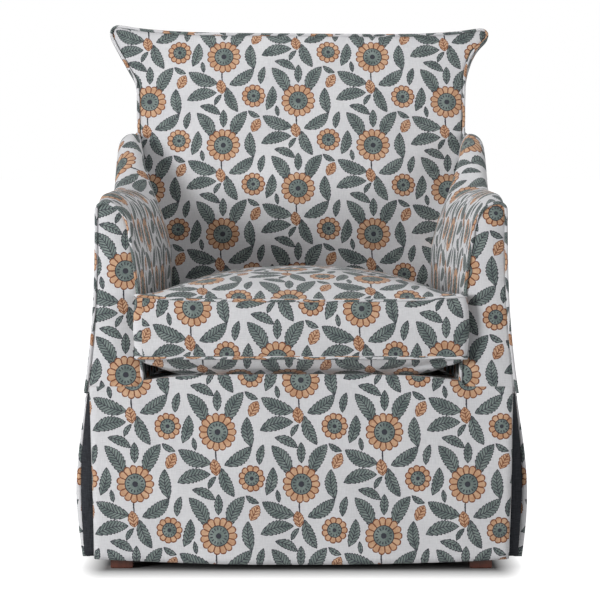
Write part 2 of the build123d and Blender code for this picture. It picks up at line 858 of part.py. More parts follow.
def build():
    parts = seat_frame()
    feet = {name: foot(x, y) for name, (x, y) in foot_places().items()}
    bolts = [foot_bolt(x, y) for x, y in foot_places().values()]
    blocks = corner_blocks()
    screws = corner_screws()
    dowels = arm_dowels()
    post = back_post()
    parts["back_post_left"], parts["back_post_right"] = post, mirrored(post)
    parts["arm_post_left"] = arm_post()
    parts["arm_post_right"] = mirrored(arm_post())
    for name in ("seat_rail_front", "back_post_left", "back_post_right"):
        for bolt in bolts:
            parts[name] = parts[name] - bolt
    for name in ("seat_rail_front", "seat_rail_back"):
        for screw in screws:
            parts[name] = parts[name] - screw
    for name in ("seat_rail_left", "seat_rail_right", "arm_post_left", "arm_post_right"):
        for dowel in dowels:
            parts[name] = parts[name] - dowel
    for name, shape in feet.items():
        for bolt in bolts:
            shape = shape - bolt
        parts["foot_" + name] = shape
    parts["foot_bolts"] = joined(bolts)
    parts["corner_blocks"] = joined(b - s for b, s in zip(blocks, screws))
    parts["corner_screws"] = joined(screws)
    parts["frame_dowels"] = joined(dowels)
    parts["back_top_rail"] = back_rail(back_frame_top - back_rail_height)
    parts["back_lower_rail"] = back_rail(lower_back_rail)
    parts["back_webbing"] = joined(back_webbing())
    parts["dust_cover"] = dust_cover()

    springs = [zigzag_spring(x) for x in spring_places()]
    parts["seat_springs"] = joined(springs)
    parts["spring_clips"] = joined(spring_clips(springs))
    parts["seat_deck"] = seat_deck()

    top_welt, bottom_welt = cushion_welt(cushion_top), cushion_welt(cushion_bottom)
    cover = cushion_form(0) - cushion_form(cover_cloth) - top_welt - bottom_welt
    panels = sorted(solids_of(cover)[:3], key=lambda panel: panel.center().Z)
    for name, panel in zip(("bottom_panel", "boxing", "top_panel"), panels):
        parts["seat_cushion_" + name] = panel
    core = cushion_form(cover_cloth + fit_gap) - top_welt - bottom_welt
    parts["seat_cushion_core"] = solids_of(core)[0]
    parts["seat_cushion_top_welt"] = top_welt
    parts["seat_cushion_bottom_welt"] = bottom_welt
    parts["zipper_tape"], parts["zipper_slider"] = zipper()

    pad, panel = left_arm()
    welt = facing_welt()
    left = {
        "arm_rail": arm_rail(),
        "arm_stretcher": arm_stretcher(),
        "ear_block": ear_block(),
        "arm_pad": pad,
        "outside_arm": panel,
        "arm_facing": solids_of(arm_facing() - welt)[0],
        "arm_welt": welt,
        "skirt_side": side_skirt(),
        "pleat_liner_front": pleat_liner(body_front, 1),
        "pleat_liner_rear": pleat_liner(body_rear, -1),
    }
    for name, shape in left.items():
        parts[name + "_left"] = shape
        parts[name + "_right"] = mirrored(shape)
    parts["back_pad"] = back_pad()
    parts["outside_back"] = outside_back()
    parts["skirt_front"] = front_skirt()
    parts["skirt_rear"] = rear_skirt()
    return parts


def main():
    os.makedirs("parts", exist_ok=True)
    for name, shape in build().items():
        export_step(shape, f"parts/{name}.step")


main()
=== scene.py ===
import json
import math
import bpy
import bmesh
import numpy as np
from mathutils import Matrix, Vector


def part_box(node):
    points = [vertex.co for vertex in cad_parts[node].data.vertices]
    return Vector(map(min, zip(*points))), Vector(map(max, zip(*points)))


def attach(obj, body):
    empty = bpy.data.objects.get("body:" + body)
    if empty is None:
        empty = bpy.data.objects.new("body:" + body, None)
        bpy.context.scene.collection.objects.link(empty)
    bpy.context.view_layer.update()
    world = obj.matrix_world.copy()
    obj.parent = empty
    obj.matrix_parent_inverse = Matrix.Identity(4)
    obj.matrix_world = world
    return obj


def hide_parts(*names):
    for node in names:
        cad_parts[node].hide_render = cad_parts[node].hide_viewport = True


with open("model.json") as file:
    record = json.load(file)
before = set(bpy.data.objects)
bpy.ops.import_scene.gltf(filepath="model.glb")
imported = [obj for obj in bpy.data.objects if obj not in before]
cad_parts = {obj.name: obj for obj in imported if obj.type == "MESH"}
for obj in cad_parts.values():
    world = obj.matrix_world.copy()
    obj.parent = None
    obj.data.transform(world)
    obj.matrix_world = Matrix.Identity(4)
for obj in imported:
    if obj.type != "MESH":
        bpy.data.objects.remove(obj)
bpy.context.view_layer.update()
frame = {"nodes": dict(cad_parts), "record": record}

print("frame loaded:", len(frame["nodes"]), "CAD pieces")


# small helpers
def clip01(t):
    return min(1.0, max(0.0, t))


def ease(t):
    t = clip01(t)
    return t * t * (3 - 2 * t)


def lerp(a, b, t):
    return a + (b - a) * t


def along(table, at):  # smooth value from a short table of (key, value) pairs
    keys = [k for k, v in table]
    vals = [v for k, v in table]
    slopes = np.gradient(vals, keys)
    n = min(max(np.searchsorted(keys, at) - 1, 0), len(keys) - 2)
    step = keys[n + 1] - keys[n]
    t = clip01((at - keys[n]) / step)
    a, b = vals[n], vals[n + 1]
    return (a * (1 + 2 * t) * (1 - t) ** 2 + b * t * t * (3 - 2 * t)
            + step * (slopes[n] * t * (1 - t) ** 2 - slopes[n + 1] * t * t * (1 - t)))


def linear(hexColour):  # '#rrggbb' to a scene-linear colour
    parts = [int(hexColour[i:i + 2], 16) / 255 for i in (1, 3, 5)]
    return tuple(c / 12.92 if c <= 0.04045 else ((c + 0.055) / 1.055) ** 2.4 for c in parts) + (1.0,)


def linked(name, data):  # a new object in the scene
    obj = bpy.data.objects.new(name, data)
    bpy.context.scene.collection.objects.link(obj)
    return obj


def sewPanels(name, panels, weld=0.0003, holes=()):
    # each panel is a grid of points with a grid of flat-cut places; holes are (low, high) corners in plan
    mesh = bpy.data.meshes.new(name)
    bm = bmesh.new()
    uvLayer = bm.loops.layers.uv.new("UVMap")
    for points, cuts in panels:
        rows, cols = len(points), len(points[0])
        verts = [[bm.verts.new(p) for p in row] for row in points]
        for j in range(rows - 1):
            for i in range(cols - 1):
                ring = [(j, i), (j, i + 1), (j + 1, i + 1), (j + 1, i)]
                middle = np.mean([points[r][c][:2] for r, c in ring], axis=0)
                if any((middle > low).all() and (middle < high).all() for low, high in holes):
                    continue
                face = bm.faces.new([verts[r][c] for r, c in ring])
                for loop, (r, c) in zip(face.loops, ring):
                    loop[uvLayer].uv = cuts[r][c]
    bmesh.ops.delete(bm, geom=[v for v in bm.verts if not v.link_faces], context="VERTS")
    bmesh.ops.remove_doubles(bm, verts=bm.verts, dist=weld)
    bmesh.ops.dissolve_degenerate(bm, edges=bm.edges, dist=0.0001)
    bmesh.ops.recalc_face_normals(bm, faces=bm.faces)
    for face in bm.faces:
        face.smooth = True
    bm.to_mesh(mesh)
    bm.free()
    return linked(name, mesh)


def grid(rowKeys, cols, spot):  # spot(key, n) gives a point and its flat-cut place
    cells = [[spot(key, n) for n in range(cols)] for key in rowKeys]
    return [[point for point, cut in row] for row in cells], [[cut for point, cut in row] for row in cells]


def tube(name, path, radius, closed=False, sides=8):  # piping along a line of points
    pts = np.array(path, float)
    count = len(pts)
    nxt = np.roll(pts, -1, 0) if closed else np.vstack([pts[1:], 2 * pts[-1] - pts[-2]])
    prv = np.roll(pts, 1, 0) if closed else np.vstack([2 * pts[0] - pts[1], pts[:-1]])
    tangents = nxt - prv
    tangents /= np.linalg.norm(tangents, axis=1)[:, None]
    side = np.cross(tangents[0], (0.3, 0.5, 0.81))
    rows, cuts, run = [], [], 0.0
    for n in range(count + (1 if closed else 0)):
        k = n % count
        side = side - tangents[k] * np.dot(side, tangents[k])
        side /= np.linalg.norm(side)
        other = np.cross(tangents[k], side)
        if n:
            run += np.linalg.norm(pts[k] - pts[(n - 1) % count])
        ring, cut = [], []
        for s in range(sides + 1):
            a = 2 * math.pi * s / sides
            ring.append(pts[k] + radius * (math.cos(a) * side + math.sin(a) * other))
            cut.append((0.7 * run + s * radius, 0.7 * run - s * radius))
        rows.append(ring)
        cuts.append(cut)
    return sewPanels(name, [(rows, cuts)], weld=0.00005)


def finishPiece(obj, material, body, nodes=()):
    obj.data.materials.clear()
    obj.data.materials.append(material)
    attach(obj, body)
    if nodes:
        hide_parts(*nodes)
    return obj


def smoothMesh(obj):
    mod = obj.modifiers.new("soften", "SUBSURF")
    mod.levels = mod.render_levels = 1
    return obj


def upholster(obj, nodes=(), body="chair"):  # smooth a piece and cover it in the print
    finishPiece(smoothMesh(obj), printCloth, body, nodes)


def thicken(obj, thickness, offset=-1.0):
    mod = obj.modifiers.new("cloth", "SOLIDIFY")
    mod.thickness = thickness
    mod.offset = offset


def lengths(points):  # running length along a line of points
    run = [0.0]
    for p, q in zip(points, points[1:]):
        run.append(run[-1] + math.dist(p, q))
    return run


def rimOf(rows):  # up one side of a grid, over its last row and down the other side
    return [r[0] for r in rows] + rows[-1][1:-1] + [r[-1] for r in reversed(rows)]


clothSettings = {
    "quality": 6,
    "mass": 0.3,
    "tension_stiffness": 18,
    "compression_stiffness": 12,
    "shear_stiffness": 6,
    "bending_stiffness": 1.2,
    "use_pressure": True,
    "vertex_group_mass": "seams",
}
seamReach = 0.0015  # points this near to a seam are held


def puff(obj, seam, pressure, frames, cap):  # blow a sewn piece up with its seams held
    mesh = obj.data
    before = np.empty(len(mesh.vertices) * 3)
    mesh.vertices.foreach_get("co", before)
    before = before.reshape(-1, 3)
    held = np.zeros(len(before), bool)
    for p in seam:
        held |= np.linalg.norm(before - p, axis=1) < seamReach
    group = obj.vertex_groups.new(name="seams")
    group.add([int(i) for i in np.nonzero(held)[0]], 1.0, "REPLACE")
    cloth = obj.modifiers.new("cloth", "CLOTH")
    for key, value in clothSettings.items():
        setattr(cloth.settings, key, value)
    cloth.settings.uniform_pressure_force = pressure
    cloth.settings.effector_weights.gravity = 0
    cloth.collision_settings.use_collision = False
    scene = bpy.context.scene
    for n in range(1, frames + 1):
        scene.frame_set(n)
    shown = obj.evaluated_get(bpy.context.evaluated_depsgraph_get())
    after = np.empty(len(before) * 3)
    shown.data.vertices.foreach_get("co", after)
    move = after.reshape(-1, 3) - before
    reach = np.linalg.norm(move, axis=1)
    move *= np.minimum(1.0, cap / np.maximum(reach, 1e-9))[:, None]
    obj.modifiers.remove(cloth)
    scene.frame_set(1)
    mesh.vertices.foreach_set("co", (before + move).ravel())
    mesh.update()
    print("puffed", obj.name, "most", round(float(reach.max()) * 1000, 1), "mm")
    return obj


# shader helpers
class Shader:
    def __init__(self, holder, base="Principled BSDF"):  # holder is a new material or world
        holder.use_nodes = True
        self.holder = holder
        self.tree = holder.node_tree
        self.base = self.tree.nodes[base]

    def feed(self, node, values):  # a link or a plain value for each input
        for key, value in values.items():
            if hasattr(value, "is_linked"):
                self.tree.links.new(value, node.inputs[key])
            else:
                node.inputs[key].default_value = value

    def node(self, kind, values, output=0, **settings):
        node = self.tree.nodes.new(kind)
        for key, value in settings.items():
            setattr(node, key, value)
        self.feed(node, values)
        return node.outputs[output]

    def calc(self, operation, *inputs):
        return self.node("ShaderNodeMath", dict(enumerate(inputs)), operation=operation)

    def blend(self, factor, a, b, mode="MIX"):
        return self.node("ShaderNodeMix", {0: factor, 6: a, 7: b}, 2, data_type="RGBA", blend_type=mode)

    def noise(self, vector, scale, detail=2.0, roughness=0.5):
        values = {"Vector": vector, "Scale": scale, "Detail": detail, "Roughness": roughness}
        return self.node("ShaderNodeTexNoise", values, "Fac")

    def stretch(self, vector, scale):
        return self.node("ShaderNodeMapping", {"Vector": vector, "Scale": scale})

    def split(self, vector):  # x, y and z of a vector
        return self.node("ShaderNodeSeparateXYZ", {0: vector}).node.outputs

    def range(self, *values):  # value, from low, from high, to low, to high
        return self.node("ShaderNodeMapRange", dict(enumerate(values)))

    def bump(self, height, strength, distance):
        values = {"Strength": strength, "Distance": distance, "Height": height}
        self.feed(self.base, {"Normal": self.node("ShaderNodeBump", values)})


# the printed cloth: a made-up half-drop of rosettes, almond leaves and buds
printLook = {
    "column": 0.1440,  # width of one column of the half-drop
    "drop": 0.1781,  # height of one repeat
    "leafDark": "#3d3e46",
    "leaf": ("#5f6c69", "#84908c"),
    "petalLine": "#7c4a34",
    "petal": ("#bd9372", "#d0ac8d"),
    "ground": ("#d0d0d3", "#dadadc"),
    "line": 0.0008,  # half width of a printed line
    "petalEdge": 0.0011,
    "wobble": 0.0016,  # of the printed edges
    "teeth": 510.0,  # of a leaf's edge, in radians for each metre
    "ribs": 1020.0,
    "notch": 0.16,  # depth of teeth and of petal ends, as a share of the shape
    "fullness": 0.85,
    "heart": 0.56,  # parts of a rosette, as shares of its radius
    "ring": 0.38,
    "ringHalf": 0.07,
    "eye": 0.15,
    # middle x, y, radius, number of petals
    "rosettes": [(0.0000, 0.0256, 0.0329, 15), (0.0580, -0.0537, 0.0232, 11)],
    # middle x, y, turn in degrees, half length, half width, bend
    "leaves": [
        (-0.0396, -0.0165, 158, 0.0311, 0.0137, 0.0049),
        (0.0348, -0.0152, 34, 0.0287, 0.0124, -0.0049),
        (-0.0348, 0.0653, 122, 0.0311, 0.0132, -0.0049),
        (0.0311, 0.0677, 62, 0.0299, 0.0132, 0.0049),
        (-0.0421, -0.0537, 14, 0.0299, 0.0127, 0.0049),
        (0.0165, -0.0604, -66, 0.0274, 0.0112, -0.0037),
        (0.0549, 0.0256, 98, 0.0262, 0.0112, 0.0037),
        (-0.0549, 0.0305, 76, 0.0250, 0.0105, -0.0037),
        (-0.0256, -0.0817, -24, 0.0220, 0.0088, 0.0037),
        (0.0000, 0.0793, 90, 0.0183, 0.0081, 0.0000),
        (-0.0690, 0.0760, 78, 0.0180, 0.0074, 0.002),
        (0.0590, 0.0885, 150, 0.0135, 0.0058, 0.002),
        (-0.0105, -0.0610, 58, 0.0130, 0.0052, 0.002),
        (-0.0405, 0.0050, 100, 0.0115, 0.0048, 0.0),
    ],
    "buds": [(-0.0049, -0.0348, 100, 0.0146, 0.0100, 0.0000), (0.0628, 0.0653, 62, 0.0152, 0.0100, 0.0000)],
    "stems": [(-0.0024, -0.0134, 92, 0.0146, 0.0015, 0.0012)],
}
threadAcross, threadAlong = 900.0, 60.0  # how fine the noise is across and along a thread


def clothWeave(shader, cut):  # slubby threads both ways, as a height and a tone
    warp = shader.noise(shader.stretch(cut, (threadAcross, threadAlong, 1.0)), 1.0, 2.0, 0.6)
    weft = shader.noise(shader.stretch(cut, (threadAlong, threadAcross, 1.0)), 1.0, 2.0, 0.6)
    return shader.calc("ADD", warp, weft)


def printedCloth(name):
    look = printLook
    shader = Shader(bpy.data.materials.new(name))
    calc = shader.calc
    uv = shader.node("ShaderNodeUVMap", {}, uv_map="UVMap")
    wobble = shader.node("ShaderNodeTexNoise", {"Vector": uv, "Scale": 260.0}, "Color")
    shift = {0: wobble, 1: (look["wobble"], look["wobble"], 0.0), 2: uv}
    place = shader.node("ShaderNodeVectorMath", shift, operation="MULTIPLY_ADD")

    def local(x, y):  # place measured from the nearest copy of a motif
        away = shader.node("ShaderNodeVectorMath", {0: place, 1: (x, y, 0.0)}, operation="SUBTRACT")
        u, v, _ = shader.split(away)
        across = calc("WRAP", u, look["column"] / 2, -look["column"] / 2)
        columns = calc("SUBTRACT", u, across)
        dropped = calc("MULTIPLY_ADD", columns, -look["drop"] / 2 / look["column"], v)
        return across, calc("WRAP", dropped, look["drop"] / 2, -look["drop"] / 2)

    def almond(x, y, turn, half, width, bend):  # whole shape, its inside and its veins
        lx, ly = local(x, y)
        c, s = math.cos(math.radians(turn)), math.sin(math.radians(turn))
        run = calc("MULTIPLY_ADD", lx, c, calc("MULTIPLY", ly, s))
        off = calc("MULTIPLY_ADD", lx, -s, calc("MULTIPLY", ly, c))
        t = calc("DIVIDE", run, half)
        swell = calc("MULTIPLY_ADD", calc("MULTIPLY", t, t), -1.0, 1.0)
        swell = calc("MAXIMUM", swell, 0.0)
        off = calc("ABSOLUTE", calc("MULTIPLY_ADD", swell, -bend, off))
        slant = calc("MULTIPLY_ADD", off, -1.0, run)
        teeth = calc("ABSOLUTE", calc("SINE", calc("MULTIPLY", slant, look["teeth"])))
        reach = calc("MULTIPLY_ADD", teeth, -look["notch"] * width, (look["notch"] - 1) * width)
        edge = calc("MULTIPLY_ADD", calc("POWER", swell, look["fullness"]), reach, off)
        whole = calc("LESS_THAN", edge, 0.0)
        inside = calc("LESS_THAN", edge, -2 * look["line"])
        ribs = calc("SINE", calc("MULTIPLY", slant, look["ribs"]))
        ribs = calc("GREATER_THAN", ribs, 0.5)
        spine = calc("LESS_THAN", off, 0.8 * look["line"])
        halfway = calc("MULTIPLY", ribs, calc("LESS_THAN", edge, -3.4 * look["line"]))
        return whole, inside, calc("MULTIPLY", calc("MAXIMUM", spine, halfway), inside)

    def rosette(x, y, size, petals):
        lx, ly = local(x, y)
        far = calc("SQRT", calc("MULTIPLY_ADD", lx, lx, calc("MULTIPLY", ly, ly)))
        turn = calc("MULTIPLY", calc("ARCTAN2", ly, lx), petals / 2)
        lobe = calc("ABSOLUTE", calc("COSINE", turn))
        rim = calc("MULTIPLY_ADD", calc("SQRT", lobe), look["notch"] * size, (1 - look["notch"]) * size)
        edge = calc("SUBTRACT", far, rim)
        whole = calc("LESS_THAN", edge, 0.0)
        petal = calc("LESS_THAN", edge, -2 * look["petalEdge"])
        gap = calc("LESS_THAN", calc("MULTIPLY", lobe, far), 0.5 * petals * look["petalEdge"])
        gap = calc("MULTIPLY", whole, gap)
        heart = calc("LESS_THAN", far, look["heart"] * size)
        heartIn = calc("LESS_THAN", far, look["heart"] * size - 2 * look["line"])
        rays = calc("GREATER_THAN", calc("COSINE", calc("MULTIPLY", turn, 2.0)), 0.35)
        band = calc("ABSOLUTE", calc("SUBTRACT", far, look["ring"] * size))
        band = calc("LESS_THAN", band, look["ringHalf"] * size)
        eye = calc("LESS_THAN", far, look["eye"] * size)
        speck = calc("MAXIMUM", calc("MULTIPLY", rays, band), eye)
        return whole, petal, gap, heart, heartIn, speck

    def most(masks):
        total = masks[0]
        for mask in masks[1:]:
            total = calc("MAXIMUM", total, mask)
        return total

    leaves = [almond(*leaf) for leaf in look["leaves"]]
    buds = [almond(*bud) for bud in look["buds"]]
    stems = [almond(*stem) for stem in look["stems"]]
    flowers = [rosette(*flower) for flower in look["rosettes"]]

    shade = shader.noise(uv, 55.0, 3.0, 0.6)
    patches = shader.noise(uv, 9.0, 3.0)
    leafDark = linear(look["leafDark"])
    petalLine = linear(look["petalLine"])

    def mottled(fac, low, high, pair):
        return shader.blend(shader.range(fac, low, high, 0.0, 1.0), linear(pair[0]), linear(pair[1]))

    leafTone = mottled(shade, 0.35, 0.65, look["leaf"])
    petalTone = mottled(shade, 0.35, 0.65, look["petal"])
    colour = mottled(patches, 0.3, 0.7, look["ground"])
    layers = [(stems, 0, leafDark), (leaves, 0, leafDark), (leaves, 1, leafTone), (leaves, 2, leafDark),
              (flowers + buds, 0, petalLine), (flowers + buds, 1, petalTone), (flowers + buds, 2, petalLine),
              (flowers, 3, leafDark), (flowers, 4, leafTone), (flowers, 5, leafDark)]
    for shapes, part, ink in layers:
        colour = shader.blend(most([shape[part] for shape in shapes]), colour, ink)

    weave = clothWeave(shader, uv)
    dim = shader.range(weave, 0.6, 1.4, 0.83, 1.10)
    grey = shader.node("ShaderNodeCombineColor", {0: dim, 1: dim, 2: dim})
    woven = shader.blend(1.0, colour, grey, "MULTIPLY")
    shader.feed(shader.base, {"Base Color": woven, "Roughness": 0.92, "Specular IOR Level": 0.12,
                              "Sheen Weight": 0.12, "Sheen Roughness": 0.6})
    creases = shader.noise(uv, 22.0, 2.0, 0.45)
    shader.bump(calc("MULTIPLY_ADD", creases, 2.5, weave), 0.3, 0.0007)
    return shader.holder


def objectShader(name):  # a new material's shader and the place on the object
    shader = Shader(bpy.data.materials.new(name))
    return shader, shader.node("ShaderNodeTexCoord", {}, "Object")


def plainCloth(name, dark, light):
    shader, place = objectShader(name)
    upright = shader.noise(shader.stretch(place, (threadAcross, threadAcross, threadAlong)), 1.0)
    level = shader.noise(shader.stretch(place, (threadAlong, threadAlong, threadAcross)), 1.0)
    threads = shader.calc("ADD", upright, level)
    tone = shader.blend(shader.range(threads, 0.7, 1.3, 0.0, 1.0), linear(dark), linear(light))
    shader.feed(shader.base, {"Base Color": tone, "Roughness": 0.95, "Specular IOR Level": 0.1})
    shader.bump(threads, 0.3, 0.0005)
    return shader.holder


def stainedWood(name, dark, light, gloss):
    shader, place = objectShader(name)
    grain = shader.noise(shader.stretch(place, (90.0, 90.0, 6.0)), 1.0, 5.0, 0.65)
    pores = shader.noise(shader.stretch(place, (900.0, 900.0, 25.0)), 1.0, 2.0, 0.5)
    tone = shader.blend(shader.range(grain, 0.3, 0.7, 0.0, 1.0), linear(dark), linear(light))
    rough = shader.range(pores, 0.3, 0.7, gloss, gloss + 0.18)
    shader.feed(shader.base, {"Base Color": tone, "Roughness": rough})
    shader.bump(shader.calc("ADD", grain, pores), 0.15, 0.0004)
    return shader.holder


def metal(name, colour, rough):
    shader, place = objectShader(name)
    scratch = shader.noise(shader.stretch(place, (40.0, 900.0, 900.0)), 1.0, 3.0)
    tone = shader.blend(scratch, linear(colour), linear("#9a9a98"))
    worn = shader.range(scratch, 0.3, 0.7, rough, rough + 0.15)
    shader.feed(shader.base, {"Base Color": tone, "Roughness": worn, "Metallic": 1.0})
    return shader.holder


printCloth = printedCloth("printCloth")
finishes = {
    "print_cloth": printCloth,
    # the pleat liners' near-black cloth is painted shade: it stands for the print cloth inside each kick
    # pleat lying in shadow
    "pleat_cloth": plainCloth("pleatShadeCloth", "#202124", "#3a3c41"),
    "filling": plainCloth("filling", "#e2ddd0", "#f0ece2"),
    "lining": plainCloth("lining", "#141416", "#26262a"),
    "webbing": plainCloth("webbing", "#8d744f", "#b79b70"),
    "zip_tape": plainCloth("zipTape", "#a9a9ab", "#c6c6c8"),
    "zip_metal": metal("zipMetal", "#b9b9b8", 0.35),
    "frame_wood": stainedWood("frameWood", "#a5805a", "#c9a67c", 0.55),
    "foot_wood": stainedWood("footWood", "#45231a", "#6b3a2b", 0.32),
    "steel": metal("steel", "#8c8c8a", 0.4),
}
slots = {row["node"]: row["material_slot"] for row in frame["record"]["subparts"]}
for nodeName, nodeObj in frame["nodes"].items():
    for holder in nodeObj.material_slots:
        holder.material = finishes[slots[nodeName]]
print("finishes made:", len(finishes))

# arms: padded inside and roll, outside panel, facing and piping
facingLow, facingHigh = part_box("arm_facing_left")
padLow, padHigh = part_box("arm_pad_left")
armShape = {
    "seatHalf": facingLow[0] - 0.003,
    "bodyHalf": facingHigh[0] + 0.008,
    "front": padLow[1],
    "rear": padHigh[1],
    "base": padLow[2],
    "frontTop": facingHigh[2] + 0.002,
    "wingTop": padHigh[2],
    "swell": 0.014,  # of the roll just behind the facing
    "swellRun": 0.100,
    "rise": 0.008,  # along the arm, before the wing
    "wingStart": 0.030,
    "wingRun": 0.185,
    "outerTop": 0.351,
    "wingOuter": 0.351,
    "rollIn": 0.060,  # how far the rounded top comes down inside
    "rollOut": (0.013, 0.030),  # and outside, at the arm and at the wing
    "crest": (0.014, 0.026),  # from the outside to the highest line
    "rake": 0.128,
    # half width of the inside at a height, beside the facing and where the arm meets the back
    "insideFront": [(0.300, 0.272), (0.478, 0.281), (0.548, 0.2895), (0.590, 0.298), (0.760, 0.320)],
    "insideRear": [(0.300, 0.2406), (0.457, 0.247), (0.553, 0.250), (0.630, 0.2765), (0.687, 0.2995),
                   (0.760, 0.3135)],
    "insideRun": 0.06,  # past the start of the wing, where the inside is at its rear line
    "outsideCurve": 2.6,
    "outsideGap": 0.004,  # between the outside panel and the skirt
    "padPrint": (0.031, 0.02),  # where the print starts on the pad and on the outside
    "outsidePrint": 0.05,
}
facingShape = {
    "drop": 0.036,  # from the top to the middle of the rounded end
    "middle": (0.320, 0.327),  # half width of the middle line, low and high
    "set": 0.004,  # of the seam behind the front
    "bulge": 0.007,
    "steps": 7,
    "piping": 0.0032,
    "pipingSet": 0.002,
    "print": (0.012, 0.045),
}


def armTop(y):
    a = armShape
    level = a["frontTop"] + a["swell"] * ease((y - a["front"]) / a["swellRun"])
    level += a["rise"] * clip01((y - a["front"]) / (a["wingStart"] - a["front"]))
    return lerp(level, a["wingTop"], ease((y - a["wingStart"]) / a["wingRun"]))


def armLines(y):  # inside and roll, then outside, as (x, z) points
    a = armShape
    t = clip01((y - a["front"]) / (a["wingStart"] + a["insideRun"] - a["front"]))
    top = armTop(y)
    wing = ease((y - a["wingStart"]) / a["wingRun"])
    outer = lerp(a["outerTop"], a["wingOuter"], wing)
    rollOut = lerp(*a["rollOut"], wing)
    ridge = lerp(*a["crest"], wing)
    shoulder = top - a["rollIn"]
    pad = []
    for n in range(15):
        z = lerp(a["base"], shoulder, n / 14)
        pad.append((lerp(along(a["insideFront"], z), along(a["insideRear"], z), t), z))
    innerTop = pad.pop()[0]
    crest = outer - ridge
    for n in range(13):
        q = math.pi / 2 * n / 12
        pad.append((crest - (crest - innerTop) * math.cos(q), shoulder + a["rollIn"] * math.sin(q)))
    for n in range(1, 7):
        q = math.pi / 2 * n / 6
        pad.append((crest + ridge * math.sin(q), top - rollOut * (1 - math.cos(q))))
    outside = []
    for n in range(19):
        f = n / 18
        outside.append((lerp(outer, a["bodyHalf"], f ** a["outsideCurve"]),
                        lerp(top - rollOut, a["base"] + a["outsideGap"], f)))
    return pad, outside


def armRuns():
    a = armShape
    return [lerp(a["front"], a["wingStart"], n / 22) for n in range(22)] + [
        lerp(a["wingStart"], a["rear"], n / 24) for n in range(25)]


def buildArm(side, name):
    a = armShape
    padRows, padCuts, outRows, outCuts = [], [], [], []
    for y in armRuns():
        pad, outside = armLines(y)
        back = clip01((y - a["wingStart"]) / (a["rear"] - a["wingStart"])) ** 2

        def place(x, z):  # the rear end follows the rake of the back
            return (side * x, y + a["rake"] * (z - a["wingTop"]) * back, z)

        padRows.append([place(x, z) for x, z in pad])
        padCuts.append([(-side * y + a["padPrint"][0], s + a["padPrint"][1]) for s in lengths(pad)])
        outRows.append([place(x, z) for x, z in outside])
        outCuts.append([(side * y + a["outsidePrint"], z) for x, z in outside])
    pad = sewPanels("armPad_" + name, [(padRows, padCuts)])
    upholster(pad, ["arm_pad_" + name])
    panel = sewPanels("outsideArm_" + name, [(outRows, outCuts)])
    upholster(panel, ["outside_arm_" + name])


def buildFacing(side, name):
    a, f = armShape, facingShape
    pad, outside = armLines(a["front"])
    outline = pad + outside[1:]
    front = facingLow[1]
    middleTop = a["frontTop"] - f["drop"]

    def spot(key, n):  # from the seam towards the middle line
        x, z = key
        t = n / f["steps"]
        up = clip01((z - a["base"]) / (middleTop - a["base"]))
        px, pz = lerp(x, lerp(*f["middle"], up), t), lerp(z, min(z, middleTop), t)
        y = front + f["set"] - f["bulge"] * (1 - (1 - t) ** 2)
        return (side * px, y, pz), (side * px + f["print"][0], pz + f["print"][1])

    facing = sewPanels("armFacing_" + name, [grid(outline, f["steps"] + 1, spot)])
    upholster(facing, ["arm_facing_" + name])
    path = [(side * x, front + f["pipingSet"], z) for x, z in outline]
    upholster(tube("armPiping_" + name, path, f["piping"]), ["arm_welt_" + name])


for side, name in ((1, "left"), (-1, "right")):
    buildArm(side, name)
    buildFacing(side, name)
print("arms built")

# back: front panel with ears, a boxing strip round its rim, piping and the outside panel
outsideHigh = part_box("outside_back")[1]
backShape = {
    # half width and height of the rim, from the seat up and round each ear
    "rim": {
        -1: [(0.240, 0.330), (0.268, 0.464), (0.292, 0.607), (0.306, 0.690), (0.3135, 0.750), (0.3155, 0.800),
             (0.3185, 0.852), (0.334, 0.882), (0.352, 0.914), (0.366, 0.939), (0.3725, 0.953),
             (0.3695, 0.964), (0.361, 0.969)],
        1: [(0.240, 0.330), (0.268, 0.464), (0.292, 0.607), (0.306, 0.690), (0.3135, 0.750), (0.3150, 0.800),
            (0.3165, 0.852), (0.3195, 0.880), (0.328, 0.907), (0.346, 0.930), (0.364, 0.945),
            (0.3635, 0.957), (0.355, 0.963)],
    },
    "dip": 0.015,  # of the top edge, between the ears
    "edgeLow": 0.150,  # y of the rim at the seat and at the top
    "edgeHigh": 0.302,
    "crown": 0.030,
    "crownLoss": 0.85,  # share of the crown that is lost towards the top
    "headStart": 0.78,  # height where the head of the back starts, and how far it runs
    "headRun": 0.18,
    "seatTop": 0.464,
    "edgeTop": 0.945,
    "boxingBulge": 0.007,
    "boxingTuck": 0.003,
    "boxingPrint": 0.16,
    "earFrom": (0.300, 0.770),  # half width and height past which the boxing flares to the outside panel
    "print": (0.005, 1.05, 0.055),  # shift along, stretch and shift up
    "rake": 0.128,
    "rearTop": outsideHigh[1] - 0.003,
    "rearHeight": outsideHigh[2],
    "piping": 0.0032,
    "pressure": 2.5,
    "frames": 16,
    "cap": 0.010,
}
outsideShape = {
    # height and half width of the outside panel's edge, over the wings, then round each ear
    "wings": [(0.306, 0.366), (0.500, 0.360), (0.690, 0.354), (0.722, 0.352), (0.742, 0.344), (0.756, 0.330),
              (0.766, 0.3175)],
    "ears": {
        -1: [(0.856, 0.318), (0.905, 0.346), (0.938, 0.364), (0.953, 0.367), (0.966, 0.360)],
        1: [(0.843, 0.315), (0.862, 0.320), (0.901, 0.3355), (0.925, 0.346), (0.945, 0.3635), (0.957, 0.3630),
            (0.962, 0.355)],
    },
    "swell": 0.005,
    "swellFrom": 0.300,
    "swellRun": 0.66,
    "proud": 0.002,
}


def outsideEdge(side, z):
    edge = outsideShape["wings"] + outsideShape["ears"][side]
    return float(np.interp(z, [e[0] for e in edge], [e[1] for e in edge]))


